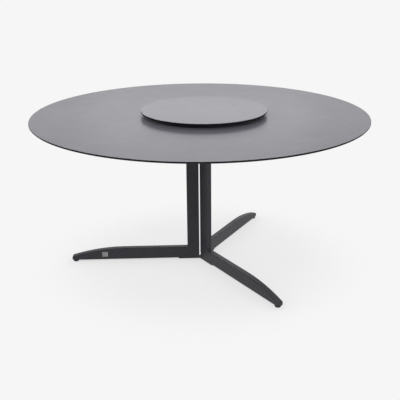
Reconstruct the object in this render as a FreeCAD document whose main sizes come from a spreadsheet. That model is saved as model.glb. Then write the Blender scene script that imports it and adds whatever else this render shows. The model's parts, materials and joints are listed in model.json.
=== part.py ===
import FreeCAD, Part

import math
import os

import Sketcher

# Round pedestal dining table with a loose turntable (lazy susan) standing on its top.
# Millimetres. The origin is on the floor, on the axis of the table top, and +Z points up.
# Every piece is an object of the document, and its sizes are bound to the cells of the sheet "Sizes".

SIZES = {
    # Table top: a disc of compact laminate, bevelled under its rim
    "table_height": 750,
    "top_diameter": 1600,
    "top_thickness": 9,
    "top_bevel": 4,
    "top_easing": 0.8,
    # Spider frame under the top: a round plate with rectangular tubes welded on it
    "frame_plate_diameter": 240,
    "frame_plate_thickness": 8,
    "arm_count": 6,
    "arm_start": 84,
    "arm_end": 590,
    "arm_width": 40,
    "arm_height": 20,
    "arm_wall": 2,
    "arm_corner": 2.5,
    "cap_flange": 3,
    "cap_plug": 12,
    "cap_clearance": 0.2,
    "cap_rounding": 2,
    # Fixing of the top: soft spacers, screws from below and brass inserts
    "inner_station": 250,
    "outer_station_inset": 45,
    "spacer_diameter": 26,
    "spacer_thickness": 2,
    "insert_diameter": 9,
    "insert_depth": 6,
    "insert_clearance": 0.05,
    "top_screw_diameter": 6,
    "top_screw_head_diameter": 12,
    "top_screw_head_height": 3.4,
    "top_screw_socket": 4,
    "top_screw_socket_depth": 2,
    "top_screw_end_gap": 0.6,
    "screw_hole_clearance": 0.5,
    "thread_clearance": 0.05,
    "top_washer_diameter": 16,
    "top_washer_thickness": 1.6,
    # Legs: a hollow upright and a tapering foot in one L, three of them around the axis
    "leg_count": 3,
    "first_leg_angle": 60,
    "leg_inner_radius": 12,
    "upright_depth": 60,
    "leg_width": 30,
    "leg_wall": 3,
    "foot_underside": 9.7,
    "foot_height": 59.3,
    "foot_flat_end": 392,
    "foot_reach": 657,
    "toe_height": 19.4,
    "heel_radius": 20,
    "crotch_radius": 2,
    "toe_top_radius": 8,
    "toe_bottom_radius": 5,
    "leg_edge_radius": 3,
    # Welded-in blocks that take the bolts at the head and the heel of each leg
    "block_clearance": 0.2,
    "head_block_height": 20,
    "heel_block_margin": 13,
    "heel_block_height": 10,
    # Bolts between the frame plate and the legs
    "head_bolt_inset": 15,
    "head_bolt_diameter": 8,
    "head_bolt_length": 24,
    "head_bolt_head_diameter": 13,
    "head_bolt_head_height": 8,
    "head_bolt_socket": 6,
    "head_bolt_socket_depth": 4,
    "head_washer_diameter": 16,
    "head_washer_thickness": 1.6,
    # Three-armed tie plate under the heels, with countersunk screws
    "tie_plate_thickness": 4,
    "tie_plate_reach": 119,
    "tie_plate_width": 30,
    "tie_plate_crook": 14,
    "tie_plate_corner": 5,
    "tie_screw_inner_radius": 44,
    "tie_screw_inset": 18,
    "tie_screw_diameter": 8,
    "tie_screw_head_diameter": 15,
    "tie_screw_length": 13,
    "tie_screw_socket": 5,
    "tie_screw_socket_depth": 2.6,
    "tie_screw_seat_gap": 0.1,
    # Levelling glides under the toes
    "glide_inset": 17,
    "glide_diameter": 30,
    "glide_gap": 0.3,
    "glide_edge": 7,
    "stud_diameter": 10,
    "stud_start": 3.5,
    "stud_hole_clearance": 0.6,
    "glide_nut_width": 17,
    "glide_nut_height": 8,
    # Turntable: disc on a two-ring ball bearing, which stands on soft feet
    "turntable_shift_x": 17,
    "turntable_shift_y": -8,
    "disc_diameter": 600,
    "disc_thickness": 9,
    "disc_bevel": 3,
    "disc_easing": 0.8,
    "turntable_foot_height": 3,
    "turntable_foot_diameter": 12,
    "turntable_foot_stem_diameter": 6,
    "turntable_foot_stem_length": 4,
    "turntable_foot_offset": 1,
    "turntable_foot_count": 6,
    "race_radius": 150,
    "race_gap": 3,
    "outer_ring_width": 16.5,
    "inner_ring_width": 18.5,
    "ring_height": 12.5,
    "inner_ring_raise": 1.5,
    "ring_edge": 1,
    "ball_diameter": 6,
    "ball_clearance": 0.25,
    "ball_count": 16,
    "cage_thickness": 2,
    "cage_height": 8,
    "disc_screw_count": 6,
    "disc_screw_offset": 1,
    "disc_screw_diameter": 5,
    "disc_screw_head_diameter": 9,
    "disc_screw_head_height": 3,
    "disc_screw_recess": 4,
    "disc_screw_socket": 3,
    "disc_screw_socket_depth": 1.8,
    "disc_screw_end_gap": 0.6,
    "disc_insert_diameter": 8,
    "disc_insert_depth": 6,
}

doc = FreeCAD.newDocument("DiningTable")
sheet = doc.addObject("Spreadsheet::Sheet", "Sizes")
for row, (alias, size) in enumerate(SIZES.items(), start=1):
    sheet.set(f"A{row}", alias)
    sheet.set(f"B{row}", str(size))
    sheet.setAlias(f"B{row}", alias)
doc.recompute()

# Heights and radii that follow from the driving sizes, as expressions
TOP_UNDERSIDE = "(Sizes.table_height - Sizes.top_thickness)"
ARM_TOP = f"({TOP_UNDERSIDE} - Sizes.spacer_thickness)"
ARM_BOTTOM = f"({ARM_TOP} - Sizes.arm_height)"
LEG_TOP = f"({ARM_BOTTOM} - Sizes.frame_plate_thickness)"
LEG_BACK = "(Sizes.leg_inner_radius + Sizes.upright_depth)"
FOOT_TOP = "(Sizes.foot_underside + Sizes.foot_height)"
FLOOR_OF_FOOT = "(Sizes.foot_underside + Sizes.leg_wall)"
TOE_TOP = "(Sizes.foot_underside + Sizes.toe_height)"
FOOT_DROP = "(Sizes.foot_height - Sizes.toe_height)"
FOOT_TAPER = "(Sizes.foot_reach - Sizes.foot_flat_end)"
FOOT_ARC_RADIUS = f"(({FOOT_TAPER} ^ 2 + {FOOT_DROP} ^ 2) / (2 * {FOOT_DROP}))"
TIE_PLATE_BOTTOM = "(Sizes.foot_underside - Sizes.tie_plate_thickness)"
LEG_PITCH = "(360 / Sizes.leg_count)"
ARM_PITCH = "(360 / Sizes.arm_count)"
STATIONS = ["Sizes.inner_station", "(Sizes.arm_end - Sizes.outer_station_inset)"]
HEAD_BOLTS = [
    "(Sizes.leg_inner_radius + Sizes.head_bolt_inset)",
    f"({LEG_BACK} - Sizes.head_bolt_inset)",
]
TIE_SCREWS = ["Sizes.tie_screw_inner_radius", "(Sizes.tie_plate_reach - Sizes.tie_screw_inset)"]
GLIDE_RADIUS = "(Sizes.foot_reach - Sizes.glide_inset)"
STUD_TOP = f"({TOE_TOP} - Sizes.leg_wall)"
OUTER_RING_BOTTOM = "(Sizes.table_height + Sizes.turntable_foot_height)"
INNER_RING_BOTTOM = f"({OUTER_RING_BOTTOM} + Sizes.inner_ring_raise)"
DISC_UNDERSIDE = f"({INNER_RING_BOTTOM} + Sizes.ring_height)"
DISC_TOP = f"({DISC_UNDERSIDE} + Sizes.disc_thickness)"
BALL_LEVEL = f"({OUTER_RING_BOTTOM} + (Sizes.ring_height + Sizes.inner_ring_raise) / 2)"
OUTER_RACE_FACE = "(Sizes.race_radius + Sizes.race_gap / 2)"
INNER_RACE_FACE = "(Sizes.race_radius - Sizes.race_gap / 2)"
GROOVE_RADIUS = "(Sizes.ball_diameter / 2 + Sizes.ball_clearance)"
FOOT_CIRCLE = f"({OUTER_RACE_FACE} + Sizes.outer_ring_width / 2 + Sizes.turntable_foot_offset)"
SCREW_CIRCLE = f"({INNER_RACE_FACE} - Sizes.inner_ring_width / 2 - Sizes.disc_screw_offset)"

# Points of a sketch curve, in the order in which constraints number them
START, END, CENTRE = range(1, 4)

parts = []


def num(expression):
    """Value of an expression in the sizes of the sheet."""
    return float(sheet.evalExpression(str(expression)))


def half(expression):
    return f"({expression}) / 2"


def new_body(name):
    """A PartDesign body that is one piece, or a set of equal pieces, and one file."""
    body = doc.addObject("PartDesign::Body", name)
    body.Label = name
    body.AllowCompound = True
    parts.append(body)
    return body


def origin_feature(body, role):
    for feature in body.Origin.OriginFeatures:
        if feature.Role == role:
            return feature
    raise ValueError(role)


def new_sketch(body, plane="XY_Plane", level=None):
    """A sketch on one of the body's own planes, raised along the plane's normal by an expression."""
    sketch = body.newObject("Sketcher::SketchObject", f"{body.Name}_sketch")
    sketch.AttachmentSupport = [(origin_feature(body, plane), "")]
    sketch.MapMode = "FlatFace"
    if level is not None:
        sketch.setExpression("AttachmentOffset.Base.z", level)
    return sketch


def name_last(sketch, index, expression):
    sketch.renameConstraint(index, f"size{index}")
    sketch.setExpression(f"Constraints.size{index}", expression)


def pin(sketch, curve, point, x, y):
    """Hold a point of a curve at a place given by two expressions; None puts it on that axis."""
    for kind, axis, expression in (("DistanceX", -2, x), ("DistanceY", -1, y)):
        if expression is None:
            sketch.addConstraint(Sketcher.Constraint("PointOnObject", curve, point, axis))
            continue
        index = sketch.addConstraint(Sketcher.Constraint(kind, -1, 1, curve, point, num(expression)))
        name_last(sketch, index, expression)


def join(sketch, first, first_point, second, second_point):
    sketch.addConstraint(Sketcher.Constraint("Coincident", first, first_point, second, second_point))


def place(x, y):
    return FreeCAD.Vector(0 if x is None else num(x), 0 if y is None else num(y), 0)


def polygon(sketch, corners):
    """A closed outline of straight lines with each corner held in place."""
    points = [place(x, y) for x, y in corners]
    first = sketch.GeometryCount
    for start, end in zip(points, points[1:] + points[:1]):
        sketch.addGeometry(Part.LineSegment(start, end))
    for n, (x, y) in enumerate(corners):
        before = first + (n - 1) % len(corners)
        join(sketch, before, END, first + n, START)
        pin(sketch, first + n, START, x, y)


def box_outline(sketch, x_low, x_high, width):
    """A rectangle between two distances along X, centred on the X axis."""
    side = half(width)
    polygon(sketch, [(x_low, f"-{side}"), (x_high, f"-{side}"), (x_high, side), (x_low, side)])


def circle(sketch, radius, x=None, y=None):
    index = sketch.addGeometry(Part.Circle(place(x, y), FreeCAD.Vector(0, 0, 1), num(radius)))
    constraint = sketch.addConstraint(Sketcher.Constraint("Radius", index, num(radius)))
    name_last(sketch, constraint, radius)
    pin(sketch, index, CENTRE, x, y)


def hexagon(sketch, width, x):
    """A hexagon with the given width across flats, centred on the X axis."""
    corner = f"({width}) / sqrt(3)"
    corners = []
    for n in range(6):
        angle = 60 * n
        y = None if n % 3 == 0 else f"{corner} * sin({angle} deg)"
        corners.append((f"{x} + {corner} * cos({angle} deg)", y))
    polygon(sketch, corners)


def pad(body, sketch, height, midplane=False):
    feature = body.newObject("PartDesign::Pad", f"{body.Name}_pad")
    feature.Profile = sketch
    feature.SideType = "Symmetric" if midplane else "One side"
    feature.setExpression("Length", height)
    return feature


def pocket(body, sketch, depth, upwards=True):
    """Cut along the sketch's normal when upwards is set, or against it."""
    feature = body.newObject("PartDesign::Pocket", f"{body.Name}_pocket")
    feature.Profile = sketch
    feature.Reversed = upwards
    feature.setExpression("Length", depth)
    return feature


def polar(body, features, count):
    """Repeat features around the body's Z axis."""
    pattern = body.newObject("PartDesign::PolarPattern", f"{body.Name}_pattern")
    pattern.Originals = features
    pattern.Axis = (origin_feature(body, "Z_Axis"), [""])
    pattern.Angle = 360
    pattern.setExpression("Occurrences", count)
    body.Tip = pattern
    return pattern


def edges_where(feature, test):
    """Names of the edges of a feature whose middle point and edge pass a test."""
    doc.recompute()
    names = []
    for n, edge in enumerate(feature.Shape.Edges, start=1):
        middle = edge.valueAt((edge.FirstParameter + edge.LastParameter) / 2)
        if test(edge, middle):
            names.append(f"Edge{n}")
    return names


def round_edges(body, base, radius, test, kind="Fillet"):
    """Fillet, or chamfer, the edges of a feature that pass a test."""
    names = edges_where(base, test)
    if not names:
        raise ValueError(f"no edge to dress on {body.Name}")
    feature = body.newObject(f"PartDesign::{kind}", f"{body.Name}_{kind.lower()}")
    feature.Base = (base, names)
    feature.setExpression("Radius" if kind == "Fillet" else "Size", radius)
    return feature


def near(a, b):
    return abs(a - b) < 0.01


def turn(body, angle):
    """Turn a finished body about the table's axis by an angle given as an expression."""
    body.Placement = FreeCAD.Placement(
        FreeCAD.Vector(), FreeCAD.Rotation(FreeCAD.Vector(0, 0, 1), num(angle))
    )
    body.setExpression("Placement.Rotation.Angle", angle)


def on_turntable(body):
    """Move a body that was drawn about the origin onto the turntable's axis."""
    body.setExpression("Placement.Base.x", "Sizes.turntable_shift_x")
    body.setExpression("Placement.Base.y", "Sizes.turntable_shift_y")


def leg_angle(n):
    return f"Sizes.first_leg_angle + {n} * {LEG_PITCH}"


# ---------------------------------------------------------------- round tops


def build_disc(name, diameter, top, thickness, bevel, easing, hole_radius, hole_depth, holes, copies):
    """A laminate disc: bevelled below, eased above, with blind holes for inserts in its underside."""
    body = new_body(name)
    radius = half(diameter)
    underside = f"({top} - {thickness})"
    sketch = new_sketch(body, "XZ_Plane")
    polygon(sketch, [
        (None, underside),
        (f"{radius} - {bevel}", underside),
        (radius, f"{underside} + {bevel}"),
        (radius, top),
        (None, top),
    ])
    disc = body.newObject("PartDesign::Revolution", f"{name}_revolution")
    disc.Profile = sketch
    disc.ReferenceAxis = (sketch, ["V_Axis"])
    disc.Angle = 360
    rim = num(radius)
    level = num(top)
    eased = round_edges(
        body, disc, easing,
        lambda edge, at: near(at.z, level) and near(math.hypot(at.x, at.y), rim),
    )
    eased.Label = f"{name}_eased_rim"
    drill = new_sketch(body, "XY_Plane", underside)
    for distance in holes:
        circle(drill, hole_radius, distance)
    blind = pocket(body, drill, hole_depth)
    polar(body, [blind], copies)
    return body


def build_tabletop():
    build_disc(
        "tabletop", "Sizes.top_diameter", "Sizes.table_height", "Sizes.top_thickness",
        "Sizes.top_bevel", "Sizes.top_easing",
        f"{half('Sizes.insert_diameter')} + Sizes.insert_clearance", "Sizes.insert_depth",
        STATIONS, "Sizes.arm_count",
    )


# ---------------------------------------------------------------- spider frame


def build_frame_plate():
    body = new_body("top_frame_plate")
    sketch = new_sketch(body, "XY_Plane", LEG_TOP)
    circle(sketch, half("Sizes.frame_plate_diameter"))
    pad(body, sketch, "Sizes.frame_plate_thickness")
    drill = new_sketch(body, "XY_Plane", LEG_TOP)
    for distance in HEAD_BOLTS:
        circle(drill, f"{half('Sizes.head_bolt_diameter')} + Sizes.screw_hole_clearance", distance)
    holes = pocket(body, drill, "Sizes.frame_plate_thickness")
    polar(body, [holes], "Sizes.leg_count")
    turn(body, "Sizes.first_leg_angle")


def along(edge):
    """True for an edge that runs along an arm, in X."""
    return near(edge.tangentAt(edge.FirstParameter).x ** 2, 1)


def build_arm(n):
    """A rectangular tube along X, drilled through both walls at the screw stations."""
    body = new_body(f"top_frame_arm_{n + 1}")
    profile = new_sketch(body, "YZ_Plane", "Sizes.arm_start")
    side = half("Sizes.arm_width")
    inner = f"({side} - Sizes.arm_wall)"
    polygon(profile, [
        (f"-{side}", ARM_BOTTOM), (side, ARM_BOTTOM), (side, ARM_TOP), (f"-{side}", ARM_TOP),
    ])
    low = f"{ARM_BOTTOM} + Sizes.arm_wall"
    high = f"{ARM_TOP} - Sizes.arm_wall"
    polygon(profile, [(f"-{inner}", low), (inner, low), (inner, high), (f"-{inner}", high)])
    tube = pad(body, profile, "Sizes.arm_end - Sizes.arm_start")
    outer_side = num(side)
    rounded = round_edges(
        body, tube, "Sizes.arm_corner",
        lambda edge, at: along(edge) and near(abs(at.y), outer_side),
    )
    rounded.Label = f"{body.Name}_corners"
    drill = new_sketch(body, "XY_Plane", ARM_BOTTOM)
    for distance in STATIONS:
        circle(drill, f"{half('Sizes.top_screw_diameter')} + Sizes.screw_hole_clearance", distance)
    pocket(body, drill, "Sizes.arm_height")
    turn(body, f"{n} * {ARM_PITCH}")


def build_end_caps():
    """Plastic plugs in the outer ends of the arms."""
    body = new_body("arm_end_caps")
    side = half("Sizes.arm_width")
    flange_sketch = new_sketch(body, "YZ_Plane", "Sizes.arm_end")
    polygon(flange_sketch, [
        (f"-{side}", ARM_BOTTOM), (side, ARM_BOTTOM), (side, ARM_TOP), (f"-{side}", ARM_TOP),
    ])
    flange = pad(body, flange_sketch, "Sizes.cap_flange")
    reach = num("Sizes.arm_end + Sizes.cap_flange")
    flange_corners = round_edges(
        body, flange, "Sizes.arm_corner", lambda edge, at: along(edge),
    )
    flange_rounding = round_edges(
        body, flange_corners, "Sizes.cap_rounding", lambda edge, at: near(at.x, reach),
    )
    plug_sketch = new_sketch(body, "YZ_Plane", "Sizes.arm_end - Sizes.cap_plug")
    fit = "(Sizes.arm_wall + Sizes.cap_clearance)"
    inner = f"({side} - {fit})"
    low = f"{ARM_BOTTOM} + {fit}"
    high = f"{ARM_TOP} - {fit}"
    polygon(plug_sketch, [(f"-{inner}", low), (inner, low), (inner, high), (f"-{inner}", high)])
    plug = pad(body, plug_sketch, "Sizes.cap_plug")
    polar(body, [flange, flange_corners, flange_rounding, plug], "Sizes.arm_count")


def build_rings(name, centres, level, height, outer_radius, inner_radius, copies):
    """Flat round pieces with a hole, at the given distances along X, repeated about the axis."""
    body = new_body(name)
    sketch = new_sketch(body, "XY_Plane", level)
    for distance in centres:
        circle(sketch, outer_radius, distance)
        circle(sketch, inner_radius, distance)
    ring = pad(body, sketch, height)
    polar(body, [ring], copies)
    return body


def build_screws(name, centres, head_level, head_height, head_radius, shank_radius, shank_end,
                 socket, socket_depth, copies, heads_down=True):
    """Cylinder-head screws with hexagon sockets; heads_down puts the heads below the shanks."""
    body = new_body(name)
    head_sketch = new_sketch(body, "XY_Plane", head_level)
    for distance in centres:
        circle(head_sketch, head_radius, distance)
    head = pad(body, head_sketch, head_height)
    shank_start = f"({head_level} + {head_height})" if heads_down else shank_end
    shank_stop = shank_end if heads_down else head_level
    shank_sketch = new_sketch(body, "XY_Plane", shank_start)
    for distance in centres:
        circle(shank_sketch, shank_radius, distance)
    shank = pad(body, shank_sketch, f"{shank_stop} - {shank_start}")
    socket_level = head_level if heads_down else f"({head_level} + {head_height} - {socket_depth})"
    socket_sketch = new_sketch(body, "XY_Plane", socket_level)
    for distance in centres:
        hexagon(socket_sketch, socket, distance)
    recess = pocket(body, socket_sketch, socket_depth)
    polar(body, [head, shank, recess], copies)
    return body


def build_top_fixing():
    """Spacers, brass inserts, washers and screws that hold the top on the arms."""
    screw_hole = f"{half('Sizes.top_screw_diameter')} + Sizes.screw_hole_clearance"
    build_rings(
        "top_spacer_pads", STATIONS, ARM_TOP, "Sizes.spacer_thickness",
        half("Sizes.spacer_diameter"), screw_hole, "Sizes.arm_count",
    )
    build_rings(
        "tabletop_inserts", STATIONS, TOP_UNDERSIDE, "Sizes.insert_depth",
        half("Sizes.insert_diameter"),
        f"{half('Sizes.top_screw_diameter')} + Sizes.thread_clearance", "Sizes.arm_count",
    )
    washer_level = f"({ARM_BOTTOM} - Sizes.top_washer_thickness)"
    build_rings(
        "tabletop_washers", STATIONS, washer_level, "Sizes.top_washer_thickness",
        half("Sizes.top_washer_diameter"), screw_hole, "Sizes.arm_count",
    )
    build_screws(
        "tabletop_screws", STATIONS, f"({washer_level} - Sizes.top_screw_head_height)",
        "Sizes.top_screw_head_height", half("Sizes.top_screw_head_diameter"),
        half("Sizes.top_screw_diameter"),
        f"({TOP_UNDERSIDE} + Sizes.insert_depth - Sizes.top_screw_end_gap)",
        "Sizes.top_screw_socket", "Sizes.top_screw_socket_depth", "Sizes.arm_count",
    )


# ---------------------------------------------------------------- legs


def leg_outline(sketch):
    """Side view of a leg: upright, heel, straight underside and a top line that ends in an arc."""
    inner = "Sizes.leg_inner_radius"
    reach = "Sizes.foot_reach"
    arc_start = "Sizes.foot_flat_end"
    radius = num(FOOT_ARC_RADIUS)
    centre = place(arc_start, f"{FOOT_TOP} - {FOOT_ARC_RADIUS}")
    toe = place(reach, TOE_TOP)
    corners = [
        toe, place(reach, "Sizes.foot_underside"), place(inner, "Sizes.foot_underside"),
        place(inner, LEG_TOP), place(LEG_BACK, LEG_TOP), place(LEG_BACK, FOOT_TOP),
        place(arc_start, FOOT_TOP),
    ]
    for start, end in zip(corners, corners[1:]):
        sketch.addGeometry(Part.LineSegment(start, end))
    toe_angle = math.atan2(toe.y - centre.y, toe.x - centre.x)
    arc = sketch.addGeometry(Part.ArcOfCircle(
        Part.Circle(centre, FreeCAD.Vector(0, 0, 1), radius), toe_angle, math.pi / 2
    ))
    last_line = arc - 1
    for n in range(last_line):
        join(sketch, n, END, n + 1, START)
    join(sketch, last_line, END, arc, END)
    join(sketch, 0, START, arc, START)
    ends = [
        (reach, "Sizes.foot_underside"), (inner, "Sizes.foot_underside"), (inner, LEG_TOP),
        (LEG_BACK, LEG_TOP), (LEG_BACK, FOOT_TOP), (arc_start, FOOT_TOP),
    ]
    for line, (x, y) in enumerate(ends):
        pin(sketch, line, END, x, y)
    pin(sketch, 0, START, reach, TOE_TOP)
    index = sketch.addConstraint(Sketcher.Constraint("DistanceX", -1, 1, arc, CENTRE, num(arc_start)))
    name_last(sketch, index, arc_start)


def across(edge):
    """True for an edge that runs across the leg, along Y."""
    return near(edge.tangentAt(edge.FirstParameter).y ** 2, 1)


def build_leg(name, n):
    """A hollow L of constant width: shelled from its open head, then rounded along its edges."""
    body = new_body(name)
    sketch = new_sketch(body, "XZ_Plane")
    leg_outline(sketch)
    blank = pad(body, sketch, "Sizes.leg_width", midplane=True)
    inner = num("Sizes.leg_inner_radius")
    back = num(LEG_BACK)
    reach = num("Sizes.foot_reach")
    bottom = num("Sizes.foot_underside")
    foot_top = num(FOOT_TOP)
    toe_level = num(TOE_TOP)
    head = num(LEG_TOP)
    heel = round_edges(
        body, blank, "Sizes.heel_radius",
        lambda edge, at: across(edge) and near(at.x, inner) and near(at.z, bottom),
    )
    crotch = round_edges(
        body, heel, "Sizes.crotch_radius",
        lambda edge, at: across(edge) and near(at.x, back) and near(at.z, foot_top),
    )
    toe_bottom = round_edges(
        body, crotch, "Sizes.toe_bottom_radius",
        lambda edge, at: across(edge) and near(at.x, reach) and near(at.z, bottom),
    )
    toe_top = round_edges(
        body, toe_bottom, "Sizes.toe_top_radius",
        lambda edge, at: across(edge) and near(at.x, reach) and near(at.z, toe_level),
    )
    doc.recompute()
    open_face = next(
        f"Face{k}" for k, face in enumerate(toe_top.Shape.Faces, start=1)
        if near(face.CenterOfMass.z, head)
    )
    shell = body.newObject("PartDesign::Thickness", f"{name}_shell")
    shell.Base = (toe_top, [open_face])
    shell.setExpression("Value", "Sizes.leg_wall")
    shell.Reversed = True
    shell.Join = 1
    side = num(half("Sizes.leg_width"))

    def outer_long_edge(edge, at):
        return near(abs(at.y), side) and not near(at.z, head)

    rounded = round_edges(body, shell, "Sizes.leg_edge_radius", outer_long_edge)
    rounded.Label = f"{name}_rounded_edges"
    drill = new_sketch(body, "XY_Plane", "Sizes.foot_underside")
    circle(drill, f"{half('Sizes.stud_diameter')} + Sizes.stud_hole_clearance", GLIDE_RADIUS)
    for distance in TIE_SCREWS:
        circle(drill, f"{half('Sizes.tie_screw_diameter')} + Sizes.screw_hole_clearance", distance)
    pocket(body, drill, "Sizes.leg_wall")
    turn(body, leg_angle(n))


def build_head_blocks():
    """Tapped blocks welded into the open heads of the uprights, flush with the tube ends."""
    body = new_body("leg_head_blocks")
    fit = "(Sizes.leg_wall + Sizes.block_clearance)"
    sketch = new_sketch(body, "XY_Plane", f"{LEG_TOP} - Sizes.head_block_height")
    width = f"Sizes.leg_width - 2 * {fit}"
    box_outline(sketch, f"Sizes.leg_inner_radius + {fit}", f"{LEG_BACK} - {fit}", width)
    for distance in HEAD_BOLTS:
        circle(sketch, f"{half('Sizes.head_bolt_diameter')} + Sizes.thread_clearance", distance)
    block = pad(body, sketch, "Sizes.head_block_height")
    polar(body, [block], "Sizes.leg_count")
    turn(body, "Sizes.first_leg_angle")


def build_heel_blocks():
    """Tapped bars on the floor of each foot, above the tie plate."""
    body = new_body("leg_heel_blocks")
    fit = "(Sizes.leg_wall + Sizes.block_clearance)"
    sketch = new_sketch(body, "XY_Plane", FLOOR_OF_FOOT)
    first_screw, last_screw = TIE_SCREWS
    start = f"{first_screw} - Sizes.heel_block_margin"
    end = f"{last_screw} + Sizes.heel_block_margin"
    box_outline(sketch, start, end, f"Sizes.leg_width - 2 * {fit}")
    for distance in TIE_SCREWS:
        circle(sketch, f"{half('Sizes.tie_screw_diameter')} + Sizes.thread_clearance", distance)
    block = pad(body, sketch, "Sizes.heel_block_height")
    polar(body, [block], "Sizes.leg_count")
    turn(body, "Sizes.first_leg_angle")


def build_head_bolts():
    """Washers and socket-head bolts that clamp the frame plate to the leg heads."""
    shank_hole = f"{half('Sizes.head_bolt_diameter')} + Sizes.screw_hole_clearance"
    washers = build_rings(
        "frame_bolt_washers", HEAD_BOLTS, ARM_BOTTOM, "Sizes.head_washer_thickness",
        half("Sizes.head_washer_diameter"), shank_hole, "Sizes.leg_count",
    )
    turn(washers, "Sizes.first_leg_angle")
    head_level = f"({ARM_BOTTOM} + Sizes.head_washer_thickness)"
    bolts = build_screws(
        "frame_bolts", HEAD_BOLTS, head_level, "Sizes.head_bolt_head_height",
        half("Sizes.head_bolt_head_diameter"), half("Sizes.head_bolt_diameter"),
        f"({head_level} - Sizes.head_bolt_length)",
        "Sizes.head_bolt_socket", "Sizes.head_bolt_socket_depth", "Sizes.leg_count", heads_down=False,
    )
    turn(bolts, "Sizes.first_leg_angle")


# ---------------------------------------------------------------- tie plate


def build_tie_plate():
    """Flat three-armed plate: one arm repeated, crooks and corners rounded, holes countersunk."""
    body = new_body("heel_tie_plate")
    sketch = new_sketch(body, "XY_Plane", TIE_PLATE_BOTTOM)
    side = half("Sizes.tie_plate_width")
    reach = "Sizes.tie_plate_reach"
    polygon(sketch, [(None, f"-{side}"), (reach, f"-{side}"), (reach, side), (None, side)])
    arm = pad(body, sketch, "Sizes.tie_plate_thickness")
    star = polar(body, [arm], "Sizes.leg_count")
    far = num(reach)
    half_width = num(side)

    def upright_edge(edge):
        return near(edge.tangentAt(edge.FirstParameter).z ** 2, 1)

    def from_axis(at):
        return math.hypot(at.x, at.y)

    crook_distance = half_width / math.sin(math.pi / num("Sizes.leg_count"))
    crooks = round_edges(
        body, star, "Sizes.tie_plate_crook",
        lambda edge, at: upright_edge(edge) and near(from_axis(at), crook_distance),
    )
    corners = round_edges(
        body, crooks, "Sizes.tie_plate_corner",
        lambda edge, at: upright_edge(edge) and near(from_axis(at), math.hypot(far, half_width)),
    )
    corners.Label = "heel_tie_plate_corners"
    drill = new_sketch(body, "XY_Plane", TIE_PLATE_BOTTOM)
    hole = f"{half('Sizes.tie_screw_diameter')} + Sizes.screw_hole_clearance"
    for distance in TIE_SCREWS:
        circle(drill, hole, distance)
    holes = pocket(body, drill, "Sizes.tie_plate_thickness")
    drilled = polar(body, [holes], "Sizes.leg_count")
    bottom = num(TIE_PLATE_BOTTOM)
    hole_radius = num(hole)
    round_edges(
        body, drilled, f"{half('Sizes.tie_screw_head_diameter')} - ({hole}) + Sizes.tie_screw_seat_gap",
        lambda edge, at: near(at.z, bottom) and isinstance(edge.Curve, Part.Circle)
        and near(edge.Curve.Radius, hole_radius),
        kind="Chamfer",
    )
    turn(body, "Sizes.first_leg_angle")


def build_tie_screws():
    """Countersunk screws from below, flush with the tie plate."""
    body = new_body("tie_plate_screws")
    head_radius = half("Sizes.tie_screw_head_diameter")
    shank_radius = half("Sizes.tie_screw_diameter")
    head_sketch = new_sketch(body, "XY_Plane", TIE_PLATE_BOTTOM)
    for distance in TIE_SCREWS:
        circle(head_sketch, head_radius, distance)
    cone_height = f"({head_radius} - {shank_radius})"
    cone = pad(body, head_sketch, cone_height)
    cone.TaperAngle = -45
    shank_sketch = new_sketch(body, "XY_Plane", f"{TIE_PLATE_BOTTOM} + {cone_height}")
    for distance in TIE_SCREWS:
        circle(shank_sketch, shank_radius, distance)
    shank = pad(body, shank_sketch, f"Sizes.tie_screw_length - {cone_height}")
    socket_sketch = new_sketch(body, "XY_Plane", TIE_PLATE_BOTTOM)
    for distance in TIE_SCREWS:
        hexagon(socket_sketch, "Sizes.tie_screw_socket", distance)
    recess = pocket(body, socket_sketch, "Sizes.tie_screw_socket_depth")
    polar(body, [cone, shank, recess], "Sizes.leg_count")
    turn(body, "Sizes.first_leg_angle")


# ---------------------------------------------------------------- glides


def build_glide_nuts():
    """Hexagon weld nuts inside the toes."""
    body = new_body("glide_nuts")
    sketch = new_sketch(body, "XY_Plane", FLOOR_OF_FOOT)
    hexagon(sketch, "Sizes.glide_nut_width", GLIDE_RADIUS)
    circle(sketch, f"{half('Sizes.stud_diameter')} + Sizes.thread_clearance", GLIDE_RADIUS)
    nut = pad(body, sketch, "Sizes.glide_nut_height")
    polar(body, [nut], "Sizes.leg_count")
    turn(body, "Sizes.first_leg_angle")


def build_glide(side, n):
    """A moulded foot with its screw stud, as two pieces."""
    foot = new_body(f"glide_foot_{side}")
    sketch = new_sketch(foot)
    circle(sketch, half("Sizes.glide_diameter"), GLIDE_RADIUS)
    disc = pad(foot, sketch, "Sizes.foot_underside - Sizes.glide_gap")
    rounded = round_edges(
        foot, disc, "Sizes.glide_edge",
        lambda edge, at: isinstance(edge.Curve, Part.Circle) and near(at.z, 0),
    )
    rounded.Label = f"{foot.Name}_rounded_edge"
    bore = new_sketch(foot, "XY_Plane", "Sizes.stud_start")
    circle(bore, f"{half('Sizes.stud_diameter')} + Sizes.thread_clearance", GLIDE_RADIUS)
    pocket(foot, bore, "Sizes.foot_underside - Sizes.stud_start")
    turn(foot, leg_angle(n))
    stud = new_body(f"glide_stud_{side}")
    stud_sketch = new_sketch(stud, "XY_Plane", "Sizes.stud_start")
    circle(stud_sketch, half("Sizes.stud_diameter"), GLIDE_RADIUS)
    pad(stud, stud_sketch, f"{STUD_TOP} - Sizes.stud_start")
    turn(stud, leg_angle(n))


# ---------------------------------------------------------------- turntable


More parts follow.
